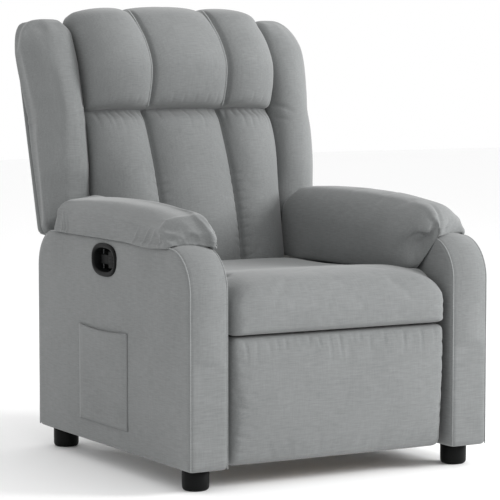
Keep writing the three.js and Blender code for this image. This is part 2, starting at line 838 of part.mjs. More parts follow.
function addBackCushions(group) {
  const w = back.halfWidth;
  const rearY = -back.frameFront - gap;
  const plan = outline([
    [-w, rearY, 0],
    [-w, -12, 25],
    [-w + 49.5, -78, 60],
    [-104, -96, 50],
    [104, -96, 50],
    [w - 49.5, -78, 60],
    [w, -12, 25],
    [w, rearY, 0],
  ]);
  const lowerSide = outline([
    [rearY, back.bottom, 6],
    [-50, back.bottom, 20],
    [-90, back.bottom + 30, 40],
    [-97, 230, 100],
    [-92, 400, 100],
    [-66, back.seam - gap, 26],
    [rearY, back.seam - gap, 4],
  ]);
  add('back_cushion', common([
    push(lowerSide, 'x', -w, w, 0, 4),
    push(plan, 'z', back.bottom - 5, back.seam + 5, 0, 4),
  ]), fabric, group);

  const headSide = outline([
    [rearY, back.seam, 4],
    [-78, back.seam, 26],
    [-146, back.seam + 93, 70],
    [-128, back.crest - 96, 70],
    [-62, back.crest - 22, 60],
    [-10, back.crest, 40],
    [-back.frameRear, back.crest - 22, 25],
    [-back.frameRear, back.frameTop + 2, 0],
    [rearY, back.frameTop + 2, 0],
  ]);
  const headPlan = outline([
    [-w, -back.frameRear + 5, 0],
    [-w, -20, 30],
    [-w + 49.5, -122, 70],
    [-104, -146, 60],
    [104, -146, 60],
    [w - 49.5, -122, 70],
    [w, -20, 30],
    [w, -back.frameRear + 5, 0],
  ]);
  const headFront = outline([
    [-w, back.seam - 5, 0],
    [w, back.seam - 5, 0],
    [w, back.crest - 26, 26],
    [0, back.crest + 6, 300],
    [-w, back.crest - 26, 26],
  ]);
  add('head_cushion', common([
    push(headSide, 'x', -w, w, 0, 4),
    push(headPlan, 'z', back.seam - 5, back.crest + 5, 0, 4),
    push(headFront, 'y', -170, 80, 0, 4),
  ]), fabric, group);
}

// A tall bolster beside the cushions, narrow at the bottom where it passes the arm pad.
function wingGeometry(sign) {
  const near = back.halfWidth + 1.5;
  const rearY = -back.frameRear;
  const side = outline([
    [rearY, wing.bottom - 4, 24],
    [-18, wing.bottom + 14, 30],
    [-30, 300, 60],
    [-64, 370, 60],
    [-wing.front, 470, 100],
    [-wing.front, wing.top - 137, 80],
    [-46, wing.top - 37, 60],
    [-5, wing.top, 50],
    [rearY, wing.top, 30],
  ]);
  const front = outline([
    [near, wing.bottom - 10, 12],
    [wing.outer - 8, wing.bottom - 10, 26],
    [wing.outer, 420, 150],
    [wing.outer - 2, wing.top - 127, 80],
    [wing.outer - 24, wing.top, 105],
    [near, wing.top + 2, 20],
  ].map(([x, z, r]) => [-sign * x, z, r]));
  const plan = outline([
    [near, rearY, 10],
    [wing.outer, rearY, 36],
    [wing.outer, -40, 46],
    [wing.outer - 46, -wing.front, 40],
    [near + 24, -wing.front, 30],
    [near, -40, 20],
  ].map(([x, y, r]) => [sign * x, y, r]));
  return common([
    push(side, 'x', sign * near, sign * wing.outer, 0, 4),
    push(front, 'y', -wing.front - 5, rearY + 5, 0, 5),
    push(plan, 'z', wing.bottom - 15, wing.top + 10, 0, 4),
  ]);
}

function backBracket(sign) {
  const x = sign * layer.drive;
  const postFace = -back.frameRear + gap;
  const cheek = outline([
    [-14, -14, 12],
    [postFace + 3, -14, 4],
    [postFace + 3, 20, 4],
    [-14, 14, 12],
  ]);
  const flange = block(x + sign * plate, sign * (back.halfWidth - 36), postFace, postFace + 3, -14, 18);
  const hole = rod(x - sign * 5, x + sign * 9, 0, 0, pinR + pinPlay);
  return shaped([push(cheek, 'x', x, x + sign * plate, 0, 3), flange], [hole]);
}

// The whole chair --------------------------------------------------------------------------

addArms();
addPocket();
addLever();
addLatch();
addBase();
addSwings();
addSeatFrame();
addSeatCushion();
addFootrest();
addLinks();
addBack();

chair.updateMatrixWorld(true);
const box = new THREE.Box3().setFromObject(chair, true);
chair.position.set(0, -(box.min.y + box.max.y) / 2, -box.min.z);

const group = new THREE.Group();
group.add(chair);
group.updateMatrixWorld(true);

export default group;
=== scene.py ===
import math
import random
import bmesh
import bpy
from mathutils import Matrix, Vector
from mathutils.bvhtree import BVHTree
from mathutils.kdtree import KDTree


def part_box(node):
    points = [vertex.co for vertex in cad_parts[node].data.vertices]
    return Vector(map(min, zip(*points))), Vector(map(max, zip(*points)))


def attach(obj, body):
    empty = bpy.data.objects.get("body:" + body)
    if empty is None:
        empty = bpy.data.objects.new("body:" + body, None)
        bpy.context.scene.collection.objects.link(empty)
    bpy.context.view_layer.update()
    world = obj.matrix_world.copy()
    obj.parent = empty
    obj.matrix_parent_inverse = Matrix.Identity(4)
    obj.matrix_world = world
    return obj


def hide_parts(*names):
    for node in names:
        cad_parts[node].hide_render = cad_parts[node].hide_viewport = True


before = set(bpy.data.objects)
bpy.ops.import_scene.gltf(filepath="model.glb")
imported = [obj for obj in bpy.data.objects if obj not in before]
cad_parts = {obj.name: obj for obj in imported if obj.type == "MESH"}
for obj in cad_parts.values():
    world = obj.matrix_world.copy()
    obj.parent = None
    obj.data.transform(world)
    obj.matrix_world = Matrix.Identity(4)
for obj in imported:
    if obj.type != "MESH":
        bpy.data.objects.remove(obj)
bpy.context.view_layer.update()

mm = 0.001
armLow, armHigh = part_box("arm_cover_right")
armMiddle = (armLow.y + armHigh.y) / 2    # the pieces are laid out from the middle of the arms
sides = {"right": -1, "left": 1}          # the sitter's own sides


def toLinear(hexColour):
    channels = [int(hexColour[i:i + 2], 16) / 255 for i in (1, 3, 5)]
    return [c / 12.92 if c <= 0.04045 else ((c + 0.055) / 1.055) ** 2.4 for c in channels] + [1]


def addNode(tree, kind, inputs=None, **settings):
    # inputs: socket name or number -> a value, or a socket to link from
    node = tree.nodes.new(kind)
    for key, value in settings.items():
        setattr(node, key, value)
    for key, value in (inputs or {}).items():
        if isinstance(value, bpy.types.NodeSocket):
            tree.links.new(value, node.inputs[key])
        else:
            node.inputs[key].default_value = value
    return node


def newMaterial(name, **shaderValues):
    # a value's name is the shader socket's, with _ for each space
    material = bpy.data.materials.new(name)
    material.use_nodes = True
    tree = material.node_tree
    shader = tree.nodes["Principled BSDF"]
    for key, value in shaderValues.items():
        shader.inputs[key.replace("_", " ")].default_value = value
    return material, tree, shader, addNode(tree, "ShaderNodeTexCoord")


weave = {
    "threadMm": 2.2,      # real threads are about 0.5 mm: drawn this coarse so that the slubs show
    "slubMm": 26.0,       # length of a thick stretch in a thread
    "mottleMm": 120.0,
    "light": "#7b7d7d",
    "dark": "#6b6d6d",
    # the piping's colour is paler than the cloth's: a painted highlight along the cords
    "piping": "#939595",
    "bumpMm": 0.35,
}


def wovenFabric(name, light, dark):
    # polyester woven to look like linen: matt, fine cross weave, thicker threads mostly across
    material, tree, shader, place = newMaterial(name, Roughness=0.92, Specular_IOR_Level=0.22,
                                                Sheen_Weight=0.22, Sheen_Roughness=0.45)
    fine = 1000 / weave["threadMm"]
    along = 1000 / weave["slubMm"]
    facing = addNode(tree, "ShaderNodeSeparateXYZ", {0: place.outputs["Normal"]})
    sideways = addNode(tree, "ShaderNodeMath", {0: facing.outputs["X"]}, operation="ABSOLUTE")
    isSide = addNode(tree, "ShaderNodeMapRange", {0: sideways.outputs[0], 1: 0.55, 2: 0.8})

    def threads(scale, detail):
        spot = addNode(tree, "ShaderNodeMapping", {0: place.outputs["Object"], 3: scale})
        return addNode(tree, "ShaderNodeTexNoise", {"Vector": spot.outputs[0], "Scale": 1.0, "Detail": detail})

    def onEitherFace(front, side):
        return addNode(tree, "ShaderNodeMix", {0: isSide.outputs[0], 2: front.outputs[0], 3: side.outputs[0]})

    weft = onEitherFace(threads((along, fine, fine), 3.0), threads((fine, along, fine), 3.0))
    warp = onEitherFace(threads((fine, along, along), 3.0), threads((fine, fine, along), 3.0))
    mottleScale = 1000 / weave["mottleMm"]
    mottle = threads((mottleScale, mottleScale, mottleScale), 2.0)
    weftPart = addNode(tree, "ShaderNodeMath", {0: weft.outputs[0], 1: 0.5}, operation="MULTIPLY")
    warpPart = addNode(tree, "ShaderNodeMath",
                       {0: warp.outputs[0], 1: 0.28, 2: weftPart.outputs[0]}, operation="MULTIPLY_ADD")
    mixed = addNode(tree, "ShaderNodeMath",
                    {0: mottle.outputs[0], 1: 0.22, 2: warpPart.outputs[0]}, operation="MULTIPLY_ADD")
    spread = addNode(tree, "ShaderNodeMapRange", {0: mixed.outputs[0], 1: 0.34, 2: 0.66})
    colour = addNode(tree, "ShaderNodeMix",
                     {0: spread.outputs[0], 6: toLinear(dark), 7: toLinear(light)},
                     data_type="RGBA")
    tree.links.new(colour.outputs[2], shader.inputs["Base Color"])
    bump = addNode(tree, "ShaderNodeBump",
                   {"Height": warpPart.outputs[0], "Strength": 0.5, "Distance": weave["bumpMm"] * mm})
    tree.links.new(bump.outputs[0], shader.inputs["Normal"])
    return material


finishes = {
    "plasticColour": "#0c0d0d", "etchMm": 0.9,
    "coatDark": "#17181a", "coatLight": "#2c2d2f", "peelMm": 2.2, "scuffMm": 35,
    "zincDark": "#a9adb0", "zincLight": "#c6c9c9", "cloudMm": 14,
    "plyDark": "#b08d5c", "plyLight": "#d9bd90", "grainWidthMm": 6, "grainLengthMm": 110,
}


def mouldedPlastic():
    # black ABS from an etched mould: satin, with a very fine grain
    material, tree, shader, place = newMaterial("mouldedAbs", Base_Color=toLinear(finishes["plasticColour"]),
                                                Roughness=0.5, IOR=1.5, Specular_IOR_Level=0.1)
    grain = addNode(tree, "ShaderNodeTexNoise",
                    {"Vector": place.outputs["Object"], "Scale": 1000 / finishes["etchMm"], "Detail": 2.0})
    rough = addNode(tree, "ShaderNodeMapRange", {0: grain.outputs[0], 3: 0.42, 4: 0.56})
    tree.links.new(rough.outputs[0], shader.inputs["Roughness"])
    bump = addNode(tree, "ShaderNodeBump", {"Height": grain.outputs[0], "Strength": 0.25, "Distance": 0.1 * mm})
    tree.links.new(bump.outputs[0], shader.inputs["Normal"])
    return material


def powderCoat():
    # black powder coat on pressed steel: slight orange peel, a little rubbed in patches
    material, tree, shader, place = newMaterial("powderCoatedSteel", Roughness=0.48, IOR=1.5)
    peel = addNode(tree, "ShaderNodeTexNoise",
                   {"Vector": place.outputs["Object"], "Scale": 1000 / finishes["peelMm"], "Detail": 2.0})
    scuff = addNode(tree, "ShaderNodeTexNoise",
                    {"Vector": place.outputs["Object"], "Scale": 1000 / finishes["scuffMm"], "Detail": 6.0})
    colour = addNode(tree, "ShaderNodeMix",
                     {0: scuff.outputs[0], 6: toLinear(finishes["coatDark"]),
                      7: toLinear(finishes["coatLight"])}, data_type="RGBA")
    tree.links.new(colour.outputs[2], shader.inputs["Base Color"])
    bump = addNode(tree, "ShaderNodeBump", {"Height": peel.outputs[0], "Strength": 0.3, "Distance": 0.15 * mm})
    tree.links.new(bump.outputs[0], shader.inputs["Normal"])
    return material


def zincPlate():
    # bright zinc on steel wire and pins: pale metal, cloudy in the gloss
    material, tree, shader, place = newMaterial("zincPlatedSteel", Metallic=1.0)
    cloud = addNode(tree, "ShaderNodeTexNoise",
                    {"Vector": place.outputs["Object"], "Scale": 1000 / finishes["cloudMm"], "Detail": 4.0})
    rough = addNode(tree, "ShaderNodeMapRange", {0: cloud.outputs[0], 3: 0.24, 4: 0.46})
    colour = addNode(tree, "ShaderNodeMix",
                     {0: cloud.outputs[0], 6: toLinear(finishes["zincDark"]),
                      7: toLinear(finishes["zincLight"])}, data_type="RGBA")
    tree.links.new(colour.outputs[2], shader.inputs["Base Color"])
    tree.links.new(rough.outputs[0], shader.inputs["Roughness"])
    return material


def rawPlywood():
    # birch plywood, sawn and unsealed: long pale grain, brown plies
    material, tree, shader, place = newMaterial("birchPlywood", Roughness=0.72)
    across, along = 1000 / finishes["grainWidthMm"], 1000 / finishes["grainLengthMm"]
    stretch = addNode(tree, "ShaderNodeMapping", {0: place.outputs["Object"], 3: (across, across, along)})
    grain = addNode(tree, "ShaderNodeTexNoise",
                    {"Vector": stretch.outputs[0], "Scale": 1.0, "Detail": 6.0, "Distortion": 0.6})
    contrast = addNode(tree, "ShaderNodeMapRange", {0: grain.outputs[0], 1: 0.3, 2: 0.7})
    colour = addNode(tree, "ShaderNodeMix",
                     {0: contrast.outputs[0], 6: toLinear(finishes["plyDark"]),
                      7: toLinear(finishes["plyLight"])}, data_type="RGBA")
    tree.links.new(colour.outputs[2], shader.inputs["Base Color"])
    bump = addNode(tree, "ShaderNodeBump", {"Height": grain.outputs[0], "Strength": 0.3, "Distance": 0.2 * mm})
    tree.links.new(bump.outputs[0], shader.inputs["Normal"])
    return material


fabric = wovenFabric("slubWovenPolyester", weave["light"], weave["dark"])
highlightedPipingFabric = wovenFabric("pipingWithPaintedHighlight", weave["piping"], weave["light"])    # paler than the cloth: a painted highlight along the cords, where they catch the light
plastic = mouldedPlastic()
blackSteel = powderCoat()
zinc = zincPlate()
plywood = rawPlywood()
print("materials made")


def at(x, y, z):
    # a point given in mm from the middle of the arms, on the floor
    return Vector((x * mm, armMiddle + y * mm, z * mm))


def smooth(t):
    t = min(1.0, max(0.0, t))
    return t * t * (3 - 2 * t)


def ramp(value, low, high):
    return smooth((value - low) / (high - low))


def through(points, t):
    # smooth curve through a few (t, value) points
    if t <= points[0][0]:
        return points[0][1]
    if t >= points[-1][0]:
        return points[-1][1]
    k = next(i for i in range(len(points) - 1) if points[i + 1][0] >= t)
    (t0, v0), (t1, v1) = points[k], points[k + 1]
    before = points[k - 1] if k else points[0]
    after = points[min(k + 2, len(points) - 1)]
    step = t1 - t0
    slope0 = (v1 - before[1]) / (t1 - before[0]) * step
    slope1 = (after[1] - v0) / (after[0] - t0) * step
    u = (t - t0) / step
    return ((2 * u ** 3 - 3 * u ** 2 + 1) * v0 + (u ** 3 - 2 * u ** 2 + u) * slope0
            + (3 * u ** 2 - 2 * u ** 3) * v1 + (u ** 3 - u ** 2) * slope1)


def cutCube(cuts):
    bm = bmesh.new()
    bmesh.ops.create_cube(bm, size=2)
    for axis, count in enumerate(cuts):
        edges = [e for e in bm.edges if abs((e.verts[1].co - e.verts[0].co)[axis]) > 1]
        bmesh.ops.subdivide_edges(bm, edges=edges, cuts=count, use_grid_fill=True)
    return bm


def roundBlock(low, high, middle, radii, stepMm):
    # block with soft edges, in mm; radii(signs) gives three radii at each of its eight corners,
    # and they blend into each other between the corners
    cuts = [max(2, round((high[i] - low[i]) / stepMm)) for i in range(3)]
    corners = [(a, b, c) for a in (-1, 1) for b in (-1, 1) for c in (-1, 1)]
    atCorner = {corner: radii(corner) for corner in corners}
    bm = cutCube(cuts)
    for v in bm.verts:
        toHigh = [0.5 + 0.5 * math.copysign(ramp(abs(c), 0, 0.6), c) for c in v.co]
        blend = [0, 0, 0]
        for corner in corners:
            weight = 1
            for i in range(3):
                weight *= toHigh[i] if corner[i] > 0 else 1 - toHigh[i]
            if weight:
                for i in range(3):
                    blend[i] += weight * atCorner[corner][i]
        signs = [1 if c >= 0 else -1 for c in v.co]
        reach = [high[i] - middle[i] if signs[i] > 0 else middle[i] - low[i] for i in range(3)]
        radius = [min(r, h) for r, h in zip(blend, reach)]
        out = [abs(v.co[i]) * reach[i] for i in range(3)]
        inner = [min(out[i], reach[i] - radius[i]) for i in range(3)]
        share = [(out[i] - inner[i]) / radius[i] for i in range(3)]
        length = math.sqrt(sum(s * s for s in share))
        factor = max(share) / length if length > 0 else 0
        v.co = [middle[i] + signs[i] * (inner[i] + radius[i] * share[i] * factor) for i in range(3)]
    return bm


def toObject(bm, name):
    mesh = bpy.data.meshes.new(name)
    bm.to_mesh(mesh)
    bm.free()
    made = bpy.data.objects.new(name, mesh)
    bpy.context.scene.collection.objects.link(made)
    return made


def toPiece(bm, name, material, body):
    bmesh.ops.recalc_face_normals(bm, faces=bm.faces[:])
    piece = toObject(bm, name)
    piece.data.materials.append(material)
    piece.data.polygons.foreach_set("use_smooth", [True] * len(piece.data.polygons))
    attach(piece, body)
    return piece


def applyModifiers(piece):
    bpy.context.view_layer.update()
    made = bpy.data.meshes.new_from_object(piece.evaluated_get(bpy.context.evaluated_depsgraph_get()))
    old = piece.data
    piece.modifiers.clear()
    piece.data = made
    bpy.data.meshes.remove(old)
    made.polygons.foreach_set("use_smooth", [True] * len(made.polygons))


clothFrames = 20


def puffUp(piece, hold, pressure, capMm, slack=0.0):
    # stuffing: cloth simulation with air pressure, held where it is sewn down or rests on something
    scene = bpy.context.scene
    start = [v.co.copy() for v in piece.data.vertices]
    group = piece.vertex_groups.new(name="sewn")
    for v in piece.data.vertices:
        weight = hold(v.co)
        if weight > 0:
            group.add([v.index], min(1.0, weight), "REPLACE")
    cloth = piece.modifiers.new("cloth", "CLOTH")
    cloth.settings.quality = 6
    cloth.settings.mass = 0.3
    cloth.settings.tension_stiffness = 25
    cloth.settings.compression_stiffness = 25
    cloth.settings.bending_stiffness = 0.4
    cloth.settings.shrink_min = -slack
    cloth.settings.use_pressure = True
    cloth.settings.uniform_pressure_force = pressure
    cloth.settings.vertex_group_mass = "sewn"
    cloth.settings.effector_weights.gravity = 0
    cloth.collision_settings.use_collision = False
    cloth.point_cache.frame_start = 1
    cloth.point_cache.frame_end = clothFrames
    for number in range(1, clothFrames + 1):
        scene.frame_set(number)
    settled = piece.evaluated_get(bpy.context.evaluated_depsgraph_get())
    moved = [v.co.copy() for v in settled.data.vertices]
    piece.modifiers.remove(cloth)
    piece.vertex_groups.clear()
    for v, a, b in zip(piece.data.vertices, start, moved):
        shift = b - a
        if shift.length > 0:
            shift *= capMm * mm * math.tanh(shift.length / (capMm * mm)) / shift.length
        v.co = a + shift
    scene.frame_set(1)


def refine(piece):
    fine = piece.modifiers.new("fine", "SUBSURF")
    fine.levels = 1
    fine.render_levels = 1
    applyModifiers(piece)


def foldIn(piece, folds):
    # creases pressed into the cloth: points to pass through, width and depth in mm, and whether the
    # crease keeps its depth, as a seam does, or fades out
    mesh = piece.data
    tree = KDTree(len(mesh.vertices))
    for v in mesh.vertices:
        tree.insert(v.co, v.index)
    tree.balance()
    surface = BVHTree.FromPolygons([v.co for v in mesh.vertices], [p.vertices for p in mesh.polygons])
    press = {}
    for points, widthMm, depthMm, even in folds:
        width, depth = widthMm * mm, depthMm * mm
        line = []
        for a, b in zip(points, points[1:]):
            steps = max(1, round((b - a).length / (7 * mm)))
            line += [surface.find_nearest(a.lerp(b, k / steps))[0] for k in range(steps)]
        line.append(surface.find_nearest(points[-1])[0])
        nearest = {}
        for k, (a, b) in enumerate(zip(line, line[1:])):
            along = b - a
            if along.length < 1e-6:
                continue
            for spot, index, _ in tree.find_range((a + b) / 2, along.length / 2 + 3 * width):
                t = min(1, max(0, (spot - a).dot(along) / along.length_squared))
                away = (spot - a - along * t).length / width
                if away < 3 and away < nearest.get(index, (3, 0))[0]:
                    share = (k + t) / (len(line) - 1)
                    fade = 1 if even else math.sin(math.pi * (0.25 + 0.75 * share))
                    nearest[index] = (away, depth * fade * math.exp(-away * away) * (1 - 0.45 * away * away))
        for index, (away, amount) in nearest.items():
            press[index] = press.get(index, 0) + amount
    normals = [v.normal.copy() for v in mesh.vertices]
    for index, amount in press.items():
        mesh.vertices[index].co -= normals[index] * amount
    mesh.update()


def tube(name, points, radius, material, body):
    # round cord along a line, closed at both ends
    line = bpy.data.curves.new(name, "CURVE")
    line.dimensions = "3D"
    line.bevel_depth = radius
    line.bevel_resolution = 2
    line.use_fill_caps = True
    spline = line.splines.new("POLY")
    spline.points.add(len(points) - 1)
    for spot, point in zip(spline.points, points):
        spot.co = (*point, 1)
    holder = bpy.data.objects.new(name + "Line", line)
    bpy.context.scene.collection.objects.link(holder)
    bpy.context.view_layer.update()
    mesh = bpy.data.meshes.new_from_object(holder.evaluated_get(bpy.context.evaluated_depsgraph_get()))
    bpy.data.objects.remove(holder)
    bm = bmesh.new()
    bm.from_mesh(mesh)
    bpy.data.meshes.remove(mesh)
    bmesh.ops.remove_doubles(bm, verts=bm.verts[:], dist=1e-6)
    return toPiece(bm, name, material, body)


arm = {
    "innerX": 289, "outerX": 385, "halfLength": 386, "bottomZ": 48, "topZ": 525,
    "frontRadius": 95, "rearRadius": 90, "bottomRadius": 12,
    "edgeRadius": 10, "bandCrown": 6, "sideCrown": 2.5, "stepMm": 9, "cutsAcross": 17,
    "pipingRadius": 1.5, "pipingInset": 2.2, "pipingFromEdge": 3.2, "fill": 0.9,
}
cup = {
    "y": 18, "z": 475, "halfY": 61.5, "halfZ": 38, "faceX": -388.2, "segments": 64,
    "wellInset": 6, "wellDepth": 44, "wellMiddle": 12,
    # inset and depth, over the flange and down the well, then its back inside the arm
    "profile": [(2, 3.4), (0.4, 2.2), (0, 0.6), (0.5, -1.0), (2.2, -2.4), (5, -3.0), (8, -2.7), (10.4, -1.4),
                (11.2, 0.8), (12, 12), (13.5, 26), (17, 29.5)],
    "shell": [(6.6, 32), (6.4, 3.4)],
}


def armOutlinePoints(inset):
    # side outline of the arm in (y, z), from the bottom front corner over the top to the bottom rear one
    points = []
    corners = [
        (-arm["halfLength"], arm["topZ"], arm["frontRadius"], 1, math.pi),
        (arm["halfLength"], arm["topZ"], arm["rearRadius"], -1, math.pi / 2),
    ]
    points.append((-arm["halfLength"] + inset, arm["bottomZ"] + 3))
    for y, z, radius, inward, startAngle in corners:
        for k in range(15):
            angle = startAngle - math.pi / 2 * k / 14
            centre = (y + inward * radius, z - radius)
            points.append((centre[0] + (radius - inset) * math.cos(angle),
                           centre[1] + (radius - inset) * math.sin(angle)))
    points.append((arm["halfLength"] - inset, arm["bottomZ"] + 3))
    return points


def makeArm(word, sign):
    # rounded box seen from the side, with soft edges across, a crowned band and padded side panels
    a = arm
    halfWidth = (a["outerX"] - a["innerX"]) / 2
    centreX = (a["outerX"] + a["innerX"]) / 2
    middleZ = (a["topZ"] + a["bottomZ"]) / 2
    flat = halfWidth - a["edgeRadius"]
    reachAcross = flat + a["edgeRadius"] * math.pi / 2
    bm = cutCube((a["cutsAcross"], round(2 * a["halfLength"] / a["stepMm"]),
                  round((a["topZ"] - a["bottomZ"]) / a["stepMm"])))
    for v in bm.verts:
        u = v.co.copy()
        along = abs(u.x) * reachAcross
        if along < flat:
            x = along
            inset = -a["bandCrown"] * (1 - (along / flat) ** 2)
        else:
            turn = (along - flat) / a["edgeRadius"]
            x = flat + a["edgeRadius"] * math.sin(turn)
            inset = a["edgeRadius"] * (1 - math.cos(turn))
        if u.z < 0:
            inset = max(0, inset)
            radius = a["bottomRadius"] - inset
        else:
            radius = (a["frontRadius"] if u.y < 0 else a["rearRadius"]) - inset
        halfY, halfZ = a["halfLength"] - inset, (a["topZ"] - a["bottomZ"]) / 2 - inset
        out = (abs(u.y) * halfY, abs(u.z) * halfZ)
        inner = [min(o, h - radius) for o, h in zip(out, (halfY, halfZ))]
        share = [(o - i) / radius for o, i in zip(out, inner)]
        length = math.hypot(*share)
        factor = max(share) / length if length > 0 else 0
        y = math.copysign(inner[0] + radius * share[0] * factor, u.y)
        z = middleZ + math.copysign(inner[1] + radius * share[1] * factor, u.z)
        if abs(u.x) > 0.999:
            border = 1 - max(abs(u.y), abs(u.z))
            x += a["sideCrown"] * ramp(border, 0, 0.3)
        v.co = at(sign * centreX + math.copysign(x, u.x), y, z)
    piece = toPiece(bm, "armCover_" + word, fabric, "base")
    if word == "right":
        cutWell(piece)
    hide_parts("arm_cover_" + word)
    # piping along both edges of the band, in the paler cloth: a painted highlight where the edges catch the
    # light
    for face, x in (("outer", a["outerX"] - a["pipingFromEdge"]), ("inner", a["innerX"] + a["pipingFromEdge"])):
        path = [at(sign * x, y, z) for y, z in armOutlinePoints(a["pipingInset"])]
        tube(f"armPiping_{face}_{word}", path, a["pipingRadius"] * mm, highlightedPipingFabric, "base")


def cutWell(piece):
    # the hole in the side panel for the lever's cup
    bm = bmesh.new()
    bmesh.ops.create_cone(bm, cap_ends=True, segments=cup["segments"], radius1=1, radius2=1, depth=1)
    halfY, halfZ = cup["halfY"] - cup["wellInset"], cup["halfZ"] - cup["wellInset"]
    place = Matrix(((0, 0, cup["wellDepth"] * mm, (cup["faceX"] + cup["wellMiddle"]) * mm),
                    (halfY * mm, 0, 0, armMiddle + cup["y"] * mm),
                    (0, halfZ * mm, 0, cup["z"] * mm), (0, 0, 0, 1)))
    bmesh.ops.transform(bm, matrix=place, verts=bm.verts[:])
    bmesh.ops.recalc_face_normals(bm, faces=bm.faces[:])
    cutter = toObject(bm, "well")
    cut = piece.modifiers.new("well", "BOOLEAN")
    cut.operation = "DIFFERENCE"
    cut.object = cutter
    applyModifiers(piece)
    bpy.data.objects.remove(cutter)


pad = {
    "innerX": 245, "outerX": 391, "lowZ": 434.5, "seatZ": 525.6, "topZ": 614,
    "frontY": -334, "outerFrontY": -299, "rearY": 292, "cornerY": -291,
    "frontRadii": (60, 56, 56), "rearRadii": (46, 16, 38), "toeRadii": (20, 34, 10), "lowerRadii": (8, 22, 8),
    "tuck": 60, "reachBack": 34, "noseRise": 9, "overhang": 3, "stepMm": 7.5, "shrink": 3,
    "pressure": 4.0, "capMm": 9, "fill": 0.8,
    "topLine": [(-334, 578), (-300, 588), (-258, 598), (-210, 604), (-120, 612), (0, 616), (140, 615),
                (250, 610), (292, 606)],
    "gathers": [0.0, 0.05, 0.11, 0.16, 0.23, 0.29, 0.38, 0.46, 0.55, 0.63, 0.74, 0.86],
    # y, lean, height and depth of each crease in the outer side
    "sideCreases": [(212, 14, 40, 2.8), (225, 20, 50, 3.2), (240, 12, 30, 2.0), (-128, -26, 34, 2.4),
                    (-176, -34, 44, 3.0), (-206, -34, 46, 2.0), (-252, -14, 34, 2.6)],
}


def makeArmPad(word, sign):
    s = pad["shrink"]

    def radii(signs):
        outward, rearward, upward = signs[0] > 0, signs[1] > 0, signs[2] > 0
        if upward:
            return pad["rearRadii"] if rearward else pad["frontRadii"]
        return pad["lowerRadii"] if outward or rearward else pad["toeRadii"]

    low = (pad["innerX"] + s, pad["frontY"] + s, pad["seatZ"])
    high = (pad["outerX"] - s, pad["rearY"] - 2, pad["topZ"] - s)
    bm = roundBlock(low, high, ((low[0] + high[0]) / 2, 0, pad["seatZ"] + 34), radii, pad["stepMm"])
    for v in bm.verts:
        x, y, z = v.co
        # the front edge runs back towards the outside
        front = ramp(-y, 120, 314)
        y += front * (pad["outerFrontY"] - pad["frontY"]) * ramp(x, 262, 380)
        # the top follows its long curve
        height = (z - pad["seatZ"]) / (high[2] - pad["seatZ"])
        topHere = through(pad["topLine"], y) - s
        # the inner side folds down over the seat's edge, and its front end is tucked back
        tuck = (1 - ramp(height, 0.5, 0.68)) * (1 - ramp(x, 279, 290)) * ramp(-y, 180, 330)
        y += pad["tuck"] * tuck
        lowHere = pad["lowZ"] + pad["noseRise"] * ramp(-y, 225, 264)
        lowHere += (pad["seatZ"] - lowHere) * ramp(x, 279, 290)
        # and its front curls down over the arm's round corner
        over = max(0, pad["cornerY"] - y)
        corner = arm["frontRadius"]
        lowHere -= (corner - math.sqrt(corner ** 2 - over ** 2)) * ramp(x, 279, 290)
        z = lowHere + (topHere - lowHere) * height
        z += ramp(height, 0.3, 1) * (7 - 0.075 * (x - 250))      # the crest is nearer the sitter
        # the outer side leans over the arm, most of all near the front
        overhang = ramp(x, 360, 388) * (1 - abs(2 * height - 0.6)) * pad["overhang"]
        z -= ramp(x, 373, 387) * (1 - ramp(height, 0, 0.4)) * (6 + 6 * math.exp(-((y + 190) / 70) ** 2))
        # the roll reaches back to the back cushion
        y += pad["reachBack"] * ramp(y, 220, 290) * (1 - ramp(x, 270, 296)) * (1 - ramp(z, 560, 606))
        v.co = at(sign * (x + overhang + 1.5 * ramp(x, 380, 388)), y, z)
    piece = toPiece(bm, "armPad_" + word, fabric, "base")

    def hold(p):
        x, y, z = abs(p.x) / mm, (p.y - armMiddle) / mm, p.z / mm
        onArm = 1 if x > 284 and z < pad["seatZ"] + 3 else 0
        againstArm = 1 if 276 < x < 292 and z < pad["seatZ"] else 0
        return max(onArm, againstArm, ramp(y, 280, 290), ramp(-z, -456, -446))

    def onSide(points):
        return [at(sign * x, y, z) for x, y, z in points]

    puffUp(piece, hold, pad["pressure"], pad["capMm"])
    refine(piece)
    random.seed(11)
    folds = []
    for share in pad["gathers"]:      # along the front end, drawn together by its seam
        x = 262 + 126 * share
        y = pad["frontY"] - 4 + 30 * share ** 2
        lean = 3 + 16 * random.random()
        tall = 0.25 + 0.75 * random.random() ** 1.6
        points = [(x, y, 527), (x + lean, y + 8 * tall, 527 + 26 * tall),
                  (x + 2 * lean, y + 40 * tall, 527 + 50 * tall),
                  (x + 3 * lean, y + 92 * tall, 527 + 64 * tall)]
        folds.append((onSide(points), 2.8 + 2.4 * tall, 0.9 + 1.5 * random.random() + 0.6 * (1 - share), False))
    for k in range(7):      # the tucked end, its gathers fanning out from the arm's top edge
        turn = math.radians(-62 + 22 * k + 10 * random.random())
        reach = 34 + 26 * random.random()
        points = [(268, -296, 520), (248, -290 + 14 * math.cos(turn), 520 + 14 * math.sin(turn)),
                  (243, -290 + reach * math.cos(turn), 520 + reach * math.sin(turn))]
        folds.append((onSide(points), 3.6, 1.6 + 1.4 * random.random(), False))
    for y, lean, reach, deep in pad["sideCreases"]:
        folds.append((onSide([(394, y, 526), (394, y + lean, 526 + reach)]), 4.4, deep, False))
    folds.append((onSide([(394, 190, 556), (394, 60, 554), (394, -90, 560)]), 3.4, 0.9, True))
    foldIn(piece, folds)
    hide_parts("arm_pad_" + word)


for word, sign in sides.items():
    makeArm(word, sign)
    makeArmPad(word, sign)
print("arms made")


